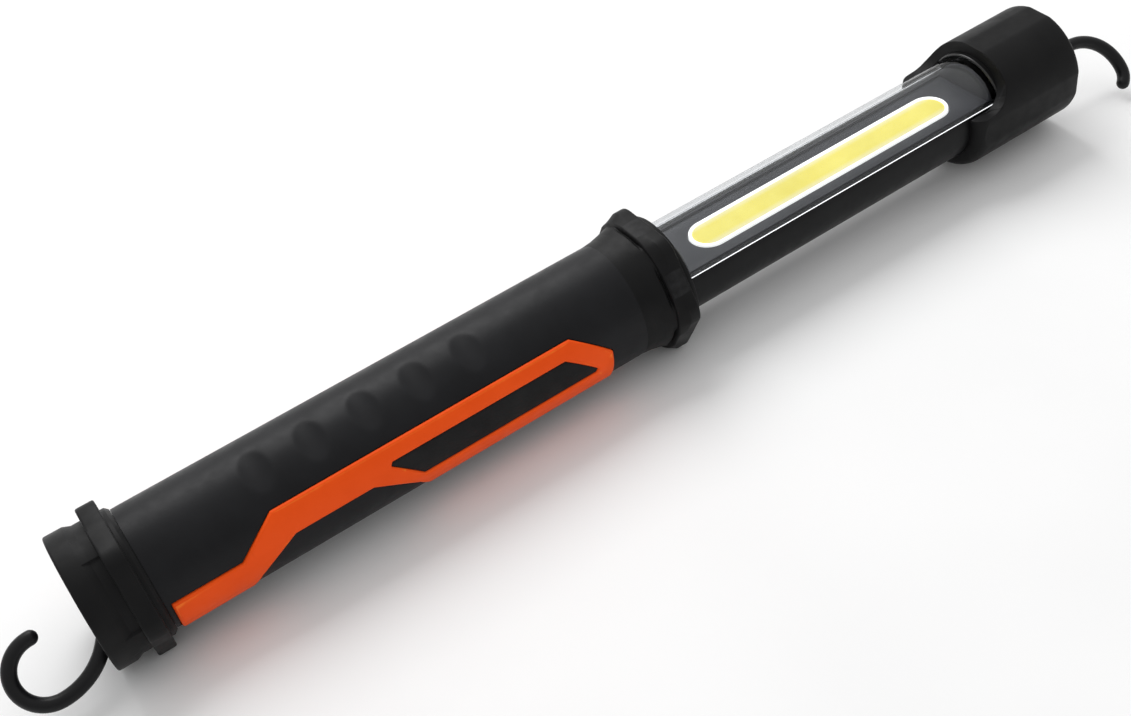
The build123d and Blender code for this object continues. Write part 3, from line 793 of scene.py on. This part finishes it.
def make_switch():
    """Bezel, and push button with three cross ribs and a foot wider than its opening."""
    cuts = [(1, y) for y in steps_between(-8, 8, 1.0)]
    bm = bmesh.new()
    ring = [(0, 21.0), (0, 23.3), (-0.15, 23.6), (-0.5, 23.8)]
    layered(bm, button_slot(3.8), ring, under_handle, [button_slot(0.5)], cuts)
    make_piece("button_bezel", mesh_from(bm), "black_plastic", "switch_bezel")
    bm = bmesh.new()
    crown = [(0, 17.0), (0, BUTTON_R - 0.6), (-0.15, BUTTON_R - 0.2), (-0.6, BUTTON_R),
             (-1.4, BUTTON_R), (-1.8, BUTTON_R - 0.15), (-2.3, BUTTON_R - 0.45)]
    layered(bm, button_slot(0), crown, under_handle, (), cuts)
    layered(bm, button_slot(2.4), [(0, 15.8), (0, 16.7)], straight_under)
    rib = [(0, BUTTON_R - 0.8), (0, BUTTON_R - 0.25), (-0.2, BUTTON_R - 0.05)]
    for i in (-1, 0, 1):
        x = BUTTON_X + 3.0 * i
        layered(bm, rounded(box_outline(x - 0.6, x + 0.6, -2.2, 2.2), 0.5), rib, under_handle)
    make_piece("push_button", mesh_from(bm), "orange_plastic", "switch_button", body="switch")


def make_port_cover():
    """Rubber flap over the charging socket: plate, three ribs, plug boss and hinge knuckle."""
    cuts = [(1, y) for y in steps_between(-7, 7, 1.0)]
    bm = bmesh.new()
    plate = [(0, 20.9), (0, 22.9), (-0.15, 23.15), (-0.5, 23.3)]
    layered(bm, rounded(box_outline(*PORT), 1.6), plate, under_handle, (), cuts)
    rib = [(0, 22.8), (0, 23.25), (-0.25, 23.45)]
    for i in range(3):
        x = 32.6 + 1.7 * i
        layered(bm, rounded(box_outline(x - 0.5, x + 0.5, -4.2, 4.2), 0.4), rib, under_handle,
                (), cuts)
    boss = [(-0.25, 20.1), (0, 20.35), (0, 21.2)]
    layered(bm, pill(37.0, 9.4, 3.9), boss, straight_under)
    hinge = spot(PORT_HINGE_X, 0, PORT_HINGE_Z)
    turned_about(bm, hinge, Vector((0, 1, 0)), washer(-6.6, 6.6, 0.62, 1.15, 0.25), 32)
    make_piece("port_flap_rubber", mesh_from(bm), "black_rubber", "port_cover",
               body="port_flap")


# ---- light head ----
LENS_WALL = 2.0
BRIGHT_EDGE_WIDTH = 0.5        # width of the painted highlight line along the lens' cut edge


def arc_section(outer, inner, start, end, steps=64):
    """A round wall's outer arc and the way back along its inner arc, as lists of (y, z)."""
    turns = [radians(start + (end - start) * i / steps) for i in range(steps + 1)]
    out = [(outer * sin(t), outer * cos(t)) for t in turns]
    back = [(inner * sin(t), inner * cos(t)) for t in reversed(turns)]
    return out, back


def make_lens():
    """Clear half-round cover. The outer line of its cut edge has a painted highlight: it is white
    and glows.
    """
    foot = SEAM_Z + SEAM_GAP
    inner_r = HEAD_R - LENS_WALL
    out_half, in_half = degrees(acos(foot / HEAD_R)), degrees(acos(foot / inner_r))
    out, _ = arc_section(HEAD_R, inner_r, -out_half, out_half)
    _, back = arc_section(HEAD_R, inner_r, -in_half, in_half)
    edge_y = sqrt(HEAD_R ** 2 - foot ** 2) - BRIGHT_EDGE_WIDTH
    section = [*out, (edge_y, foot), *back, (-edge_y, foot)]
    mesh = extruded_mesh(section, [LENS[0], *steps_between(*LENS, 8.0), LENS[1]])
    make_piece("lens_cover", mesh, "clear_lens", "lens", looks=["clear_lens", "painted_edge_highlight"])
    for face in mesh.polygons:
        low = face.center.z < AXIS_Z + (foot + 0.02) * MM
        if low and abs(face.center.y) > edge_y * MM:
            face.material_index = 1


def make_housing():
    """Back half of the head's tube, with its outer edges broken along the seam."""
    top = SEAM_Z
    half = degrees(acos(top / HEAD_R))
    out, back = arc_section(HEAD_R, HOUSING_IN, half + 1.4, 360 - half - 1.4)
    low_y, low_z = sqrt(HEAD_R ** 2 - (top - 0.25) ** 2), top - 0.25
    top_y = sqrt(HEAD_R ** 2 - top ** 2) - 0.2
    inner_y = sqrt(HOUSING_IN ** 2 - top ** 2)
    section = [(inner_y, top), (top_y, top), (low_y, low_z), *out,
               (-low_y, low_z), (-top_y, top), (-inner_y, top), *back[1:-1]]
    stations = [LENS[0] - 0.1, *steps_between(*LENS, 8.0), LENS[1]]
    make_piece("back_housing", extruded_mesh(section, stations), "black_plastic",
               "head_housing")


TRAY_X, TRAY_HALF, TRAY_FLOOR = (243.2, 398.4), 14.6, 5.7
RAIL_X, RAIL_Y, RAIL_Z = (243.3, 398.3), (13.8, 14.5), (5.5, 6.7)
TRAY_ENDS, TRAY_END_R = (243.0, 397.0), 15.8
STRIP_FOOT = 4.2


def make_tray():
    """Tray round the strip, with a rail along each side and a round plate at each end."""
    low = height_of("reflector_tray", 0)
    bm = bmesh.new()
    layers = [(0, low), (0, TRAY_FLOOR - 0.25), (-0.1, TRAY_FLOOR - 0.07), (-0.3, TRAY_FLOOR)]
    layered(bm, box_outline(*TRAY_X, -TRAY_HALF, TRAY_HALF), layers, spot,
            [pill(STRIP_MID, STRIP_LEN + 0.7, STRIP_W + 0.7)])
    (near, far), (foot, top) = RAIL_Y, RAIL_Z
    for side in (-1, 1):
        rail = rounded([(side * near, foot), (side * near, top, 0.3), (side * far, top, 0.3),
                        (side * far, foot)], 0.05)
        add_rings(bm, [[spot(x, y, z) for y, z in rail] for x in RAIL_X])
    for x in TRAY_ENDS:
        half = degrees(acos(low / TRAY_END_R))
        arc = [radians(-half + 2 * half * i / 48) for i in range(49)]
        plate = [(TRAY_END_R * sin(t), TRAY_END_R * cos(t)) for t in arc]
        add_rings(bm, [[spot(x + dx, y * s, low + (z - low) * s) for y, z in plate]
                       for dx, s in ((0, 0.985), (0.2, 1), (1.4, 1), (1.6, 0.985))])
    make_piece("strip_tray", mesh_from(bm), "tray_grey", "reflector_tray")


def make_strip():
    """White dam of the strip of LEDs, and the phosphor that it holds."""
    inside = pill(STRIP_MID, STRIP_LEN - 2 * STRIP_BORDER, STRIP_W - 2 * STRIP_BORDER, 40)
    bm = bmesh.new()
    layers = [(0, STRIP_FOOT), (0, STRIP_TOP - 0.3), (-0.12, STRIP_TOP - 0.08),
              (-0.4, STRIP_TOP)]
    layered(bm, pill(STRIP_MID, STRIP_LEN, STRIP_W, 40), layers, spot, [inside])
    make_piece("strip_border", mesh_from(bm), "strip_white", "cob_dam")
    bm = bmesh.new()
    gel = height_of("cob_phosphor", 1)
    layers = [(0, STRIP_FOOT), (0, gel - 0.3), (-0.2, gel - 0.12), (-0.8, gel - 0.03),
              (-2.0, gel)]
    layered(bm, inside, layers, spot)
    make_piece("strip_phosphor", mesh_from(bm), "phosphor", "cob_phosphor")


# ---- head cap ----
CAP_FOOT, CAP_FULL = x_of("head_cap", 0), 388.0   # where the shoulder starts and is full
SCOOP_X, SCOOP_R = 389.0, 12.0
CAP_FLAT_R = CAP_R - 0.55
CAP_RIM = 2.3             # rounding of the cap's rim
CAP_RECESS_R, CAP_MOUTH_R = 20.5, 18.6
SEAM_ANGLE = degrees(acos(SEAM_Z / CAP_R))        # where the scoop's floor meets the side
RIM_ROWS, OUTSIDE_ROWS, WALL_ROWS = 6, 12, 44


def cap_outside(angle):
    """Cap's radius, with its four long flats."""
    delta = abs((angle + 2.5 + 45) % 90 - 45)
    return min(CAP_R, CAP_FLAT_R / cos(radians(delta)))


def cap_front(radius, angle):
    """Where the cap's front is: a round shoulder, or the scoop's wall over the lens."""
    tube_r = HEAD_R + 0.2
    part = min(max((radius - tube_r) / (CAP_R - tube_r), 0), 1)
    shoulder = CAP_FULL - (CAP_FULL - CAP_FOOT) * sqrt(1 - part ** 2)
    rise = radius * cos(radians(angle)) - SEAM_Z
    if rise <= 0:
        return shoulder
    dip = SCOOP_R - min(rise, SCOOP_R)
    return max(shoulder, SCOOP_X + sqrt(SCOOP_R ** 2 - dip ** 2))


def evenly(points, count):
    """Points at even distances along a line of points."""
    lengths = [0.0]
    for a, b in zip(points, points[1:]):
        lengths.append(lengths[-1] + (b - a).length)
    out, i = [], 0
    for k in range(count):
        goal = lengths[-1] * k / (count - 1)
        while i < len(points) - 2 and lengths[i + 1] < goal:
            i += 1
        span = max(lengths[i + 1] - lengths[i], 1e-9)
        out.append(points[i].lerp(points[i + 1], min((goal - lengths[i]) / span, 1)))
    return out


def cap_angles():
    """Angles of the cap's columns, close together where the scoop's floor meets the side."""
    near = [SEAM_ANGLE - 12 + 0.3 * i for i in range(53)]
    wide = [2.0 * i for i in range(91)]
    half = [a for a in wide if a <= near[0] - 1] + near + [a for a in wide if a > near[-1] + 1]
    return half + [360 - a for a in reversed(half) if 0 < a < 180]


def cap_column(angle):
    """One column of the cap, as (x, radius): rim, outside, front wall and inside."""
    away = abs(turned_from(angle, 0))
    outside = cap_outside(angle)
    lift = smooth_step((SEAM_ANGLE - 1.5 - away) / 3.0)
    foot = HEAD_R + 0.15 + (19.85 - HEAD_R) * lift        # clear of the lens' seal
    radii = [outside + (foot - outside) * k / 120 for k in range(121)]
    wall = [Vector((cap_front(r, away), r)) for r in radii]
    rim_x = LENGTH - CAP_RIM
    back = [Vector((rim_x + (wall[0].x + 2.5 - rim_x) * k / OUTSIDE_ROWS, outside))
            for k in range(OUTSIDE_ROWS + 1)]
    line = evenly([back[-1], *wall], WALL_ROWS)
    turns = [radians(15 * k) for k in range(RIM_ROWS, 0, -1)]
    rim = [Vector((rim_x + CAP_RIM * sin(t), outside - CAP_RIM + CAP_RIM * cos(t)))
           for t in turns]
    lip_x = LENGTH - 1.4
    inside = [Vector((max(404.0, wall[-1].x + 1), foot)), Vector((404.5, CAP_RECESS_R)),
              Vector((lip_x, CAP_RECESS_R)), Vector((lip_x, CAP_MOUTH_R)),
              Vector((LENGTH, CAP_MOUTH_R))]
    return [*rim, *back[:-1], *line, *inside]


def cap_mesh():
    """Rubber cap, with its scoop's edges rounded off."""
    angles = cap_angles()
    columns = [cap_column(angle) for angle in angles]
    smooth_wall(columns, RIM_ROWS + OUTSIDE_ROWS, WALL_ROWS)
    rings = [[place(p.x, p.y, angle) for p in column] for column, angle in zip(columns, angles)]
    bm = bmesh.new()
    add_rings(bm, rings, closed=True)
    return mesh_from(bm)


def smooth_wall(columns, start, rows, rounds=3):
    """Rounds the scoop's edges off by averaging each wall point with its neighbours."""
    for _ in range(rounds):
        old = [[p.copy() for p in column] for column in columns]
        count = len(columns)
        for i in range(count):
            for j in range(start + 1, start + rows - 1):
                around = (old[i][j - 1] + old[i][j + 1] + old[i - 1][j] + old[(i + 1) % count][j])
                columns[i][j] = old[i][j] * 0.4 + around * 0.15


# ---- end cups, seal and hooks ----
CUP_FLOOR = 19.0          # depth of the end recesses
SEAL_X = (398.7, 403.7)
EYE_HALF, EYE_IN, EYE_OUT = 2.78, 1.4, 4.0


def cup_mesh(recess_r, outer_r, front, at_head):
    """Hard cup that lines an end's recess, with a round lip and a stepped floor."""
    floor = CUP_FLOOR
    outline = rounded([
        (front, recess_r + 0.7, 0.5), (front, outer_r, 0.4), (floor + 2.5, outer_r, 0.2),
        (floor + 2.5, 3.1, 0.1), (floor, 3.1, 0.3), (floor, 7.6, 0.1), (floor - 0.6, 8.4, 0.1),
        (floor - 0.6, 9.6, 0.2), (floor, 10.2, 0.2), (floor, recess_r, 1.2),
        (front + 1.2, recess_r, 0.6)])
    if at_head:
        outline = [Vector((LENGTH - p.x, p.y)) for p in outline]
    return turned_mesh(lambda angle: outline, 192)


def make_ends():
    """Cup in each end, and the seal round the lens' end in the cap."""
    for at_head, node, sizes in ((False, "base_end_cup", (19.6, 21.6, 1.4)),
                                 (True, "head_end_cup", (17.8, 20.4, 1.5))):
        make_piece(node.replace("end", "liner"), cup_mesh(*sizes, at_head), "hub_plastic", node)
    seal = washer(*SEAL_X, HEAD_R + 0.12, 19.9, 0.6)
    make_piece("lens_seal", turned_mesh(lambda angle: seal, 192), "gasket", "front_seal")


def in_hook_plane(x, out, across=0.0):
    """A point of a hook's own plane: out from the axis in it, and across it."""
    turn = radians(HOOK_TURN)
    return spot(x, out * sin(turn) + across * cos(turn), out * cos(turn) - across * sin(turn))


def bent_line(start, heading, run, bends, step=1.2):
    """Points along a straight run and then arcs of (radius, turn), in a hook's plane."""
    at, way = Vector((start, 0)), radians(heading)
    count = ceil(run / step)
    points = [at + Vector((cos(way), sin(way))) * run * i / count for i in range(count + 1)]
    at = points[-1]
    for radius, turn in bends:
        turn = radians(turn)
        side = 1 if turn > 0 else -1
        centre = at + Vector((-sin(way), cos(way))) * radius * side
        count = ceil(abs(turn) * radius / step)
        for i in range(1, count + 1):
            now = way + turn * i / count
            points.append(centre - Vector((-sin(now), cos(now))) * radius * side)
        at, way = points[-1], way + turn
    return points


def make_hook(name, node, body, path):
    """Bent wire with the eye that turns on its pin."""
    centres = [in_hook_plane(p.x, p.y) for p in path]
    normal = (in_hook_plane(0, 0, 1) - in_hook_plane(0, 0, 0)).normalized()
    bm = bmesh.new()
    tube_along(bm, centres[2:], normal, WIRE_R)
    turned_about(bm, centres[0], normal, washer(-EYE_HALF, EYE_HALF, EYE_IN, EYE_OUT, 0.6))
    make_piece(name, mesh_from(bm), "hook_wire", node, body=body)


def make_hooks():
    """The base's hook is nearly a closed loop, and the head's is an open J."""
    lean = 51.4
    path = bent_line(PIVOT_DEPTH, 180 + lean, 19.7, [(24.0, -lean), (11.6, -182)])
    make_hook("base_hook_bent_wire", "base_hook", "base_hook", path)
    path = bent_line(LENGTH - PIVOT_DEPTH, -4.3, 31.0, [(18.3, -90.7), (8.0, -46)])
    make_hook("head_hook_bent_wire", "head_hook", "head_hook", path)


# ---- CAD nodes that stay ----
SOFTENED = ("base_hook_hub", "head_hook_hub", "base_hook_pin", "head_hook_pin", "base_cup_screws",
            "head_cup_screws", "base_hub_clip", "head_hub_clip", "charging_socket")


def finish_cad_nodes():
    """Gives CAD nodes their slots' looks, and rounds the small hard parts' edges."""
    slots = {part["node"]: part["material_slot"] for part in frame["record"]["subparts"]}
    for name, node in frame["nodes"].items():
        node.data.materials.clear()
        node.data.materials.append(LOOKS[slots[name]])
        if name in SOFTENED:
            weld = node.modifiers.new("weld", "WELD")
            weld.merge_threshold = 0.002 * MM
            edge = node.modifiers.new("edge", "BEVEL")
            edge.width, edge.segments, edge.harden_normals = 0.2 * MM, 2, True
            edge.limit_method, edge.angle_limit = "ANGLE", radians(50)


# ---- floor, light and camera ----
FLOOR_HALF, FLOOR_Z = 6.0, -0.0003        # in metres
SKY_WAY = (0.1, 0.8, 0.9)                 # towards the sky's brightest part
SKY_LOW, SKY_HIGH = 0.5, 0.88
KEY_WAY, KEY_AWAY, KEY_SIZE, KEY_POWER = (0.1, 0.8, 1.0), 1.5, 0.9, 12.5


def make_floor():
    """Plain white floor, just under the object."""
    look = Look("studio_floor")
    look.colour(look.blend(look.spread(look.noise(120, 3), 0, 1), (0.86, 0.86, 0.86),
                           (0.9, 0.9, 0.9)))
    look.rough(look.spread(look.noise(30, 3), 0.6, 0.75))
    bm = bmesh.new()
    bmesh.ops.create_grid(bm, x_segments=4, y_segments=4, size=FLOOR_HALF)
    floor = add_object("floor", mesh_from(bm))
    floor.data.materials.append(look.material)
    floor.location.z = FLOOR_Z


def make_key():
    """A square soft light that looks at the origin."""
    data = bpy.data.lights.new("key", "AREA")
    data.shape, data.size, data.energy = "SQUARE", KEY_SIZE, KEY_POWER
    light = add_object("key", data)
    way = Vector(KEY_WAY).normalized()
    light.location = way * KEY_AWAY
    light.rotation_mode = "QUATERNION"
    light.rotation_quaternion = way.to_track_quat("Z", "Y")


def make_sky():
    """White sky that is brighter on the key light's side."""
    world = bpy.data.worlds.new("studio")
    bpy.context.scene.world = world
    world.use_nodes = True
    nodes, links = world.node_tree.nodes, world.node_tree.links
    direction = nodes.new("ShaderNodeTexCoord").outputs["Generated"]
    dot = nodes.new("ShaderNodeVectorMath")
    dot.operation = "DOT_PRODUCT"
    links.new(direction, dot.inputs[0])
    dot.inputs[1].default_value = Vector(SKY_WAY).normalized()
    ramp = nodes.new("ShaderNodeMapRange")
    ramp.interpolation_type = "SMOOTHSTEP"
    ramp.inputs["From Min"].default_value = -0.55
    ramp.inputs["From Max"].default_value = 0.95
    ramp.inputs["To Min"].default_value = SKY_LOW
    ramp.inputs["To Max"].default_value = SKY_HIGH
    nodes["Background"].inputs["Color"].default_value = (1, 1, 1, 1)
    links.new(dot.outputs["Value"], ramp.inputs["Value"])
    links.new(ramp.outputs["Result"], nodes["Background"].inputs["Strength"])


# The camera stands level with a point near the base, out to the orange side, and looks
# along the light towards its head.
CAMERA_X, CAMERA_AWAY, CAMERA_SIDE = 22.5, 519.1, -46.0
CAMERA_YAW, CAMERA_PITCH, CAMERA_ROLL = 17.894, -1.037, 29.745
CAMERA_LENS, CAMERA_SENSOR = 46.59, 36.0


def make_camera():
    data = bpy.data.cameras.new("camera")
    data.lens, data.sensor_width = CAMERA_LENS, CAMERA_SENSOR
    data.clip_start, data.clip_end = 0.02, 30
    camera = add_object("camera", data)
    along = Vector((1, 0, 0))
    out = place(CAMERA_X, 1000, CAMERA_SIDE) - place(CAMERA_X, 0, CAMERA_SIDE)
    over = out.cross(along)
    yaw, pitch, roll = radians(CAMERA_YAW), radians(CAMERA_PITCH), radians(CAMERA_ROLL)
    level = along * sin(yaw) - out * cos(yaw)
    ahead = level * cos(pitch) + over * sin(pitch)
    upright = over * cos(pitch) - level * sin(pitch)
    across = along * cos(yaw) + out * sin(yaw)
    right = across * cos(roll) - upright * sin(roll)
    up = across * sin(roll) + upright * cos(roll)
    turn = Matrix((right, up, -ahead)).transposed().to_4x4()
    camera.matrix_world = Matrix.Translation(place(CAMERA_X, CAMERA_AWAY, CAMERA_SIDE)) @ turn
    bpy.context.scene.camera = camera


def make_object():
    """Every piece of the light that takes the place of a CAD node."""
    make_piece("boot_rubber", turned_mesh(boot_profile, 480), "black_rubber", "base_boot")
    make_piece("grip_rubber", cut_away(grip_mesh(), pockets_mesh()), "soft_grip",
               "grip_sleeve")
    make_piece("collar_rubber", turned_mesh(collar_profile, 480), "black_rubber",
               "front_collar")
    make_piece("cap_rubber", cap_mesh(), "black_rubber", "head_cap")
    make_sides()
    make_switch()
    make_port_cover()
    make_lens()
    make_housing()
    make_tray()
    make_strip()
    make_ends()
    make_hooks()


finish_cad_nodes()
make_object()
make_floor()
make_sky()
make_key()
make_camera()
bpy.context.scene.view_settings.view_transform = "Standard"
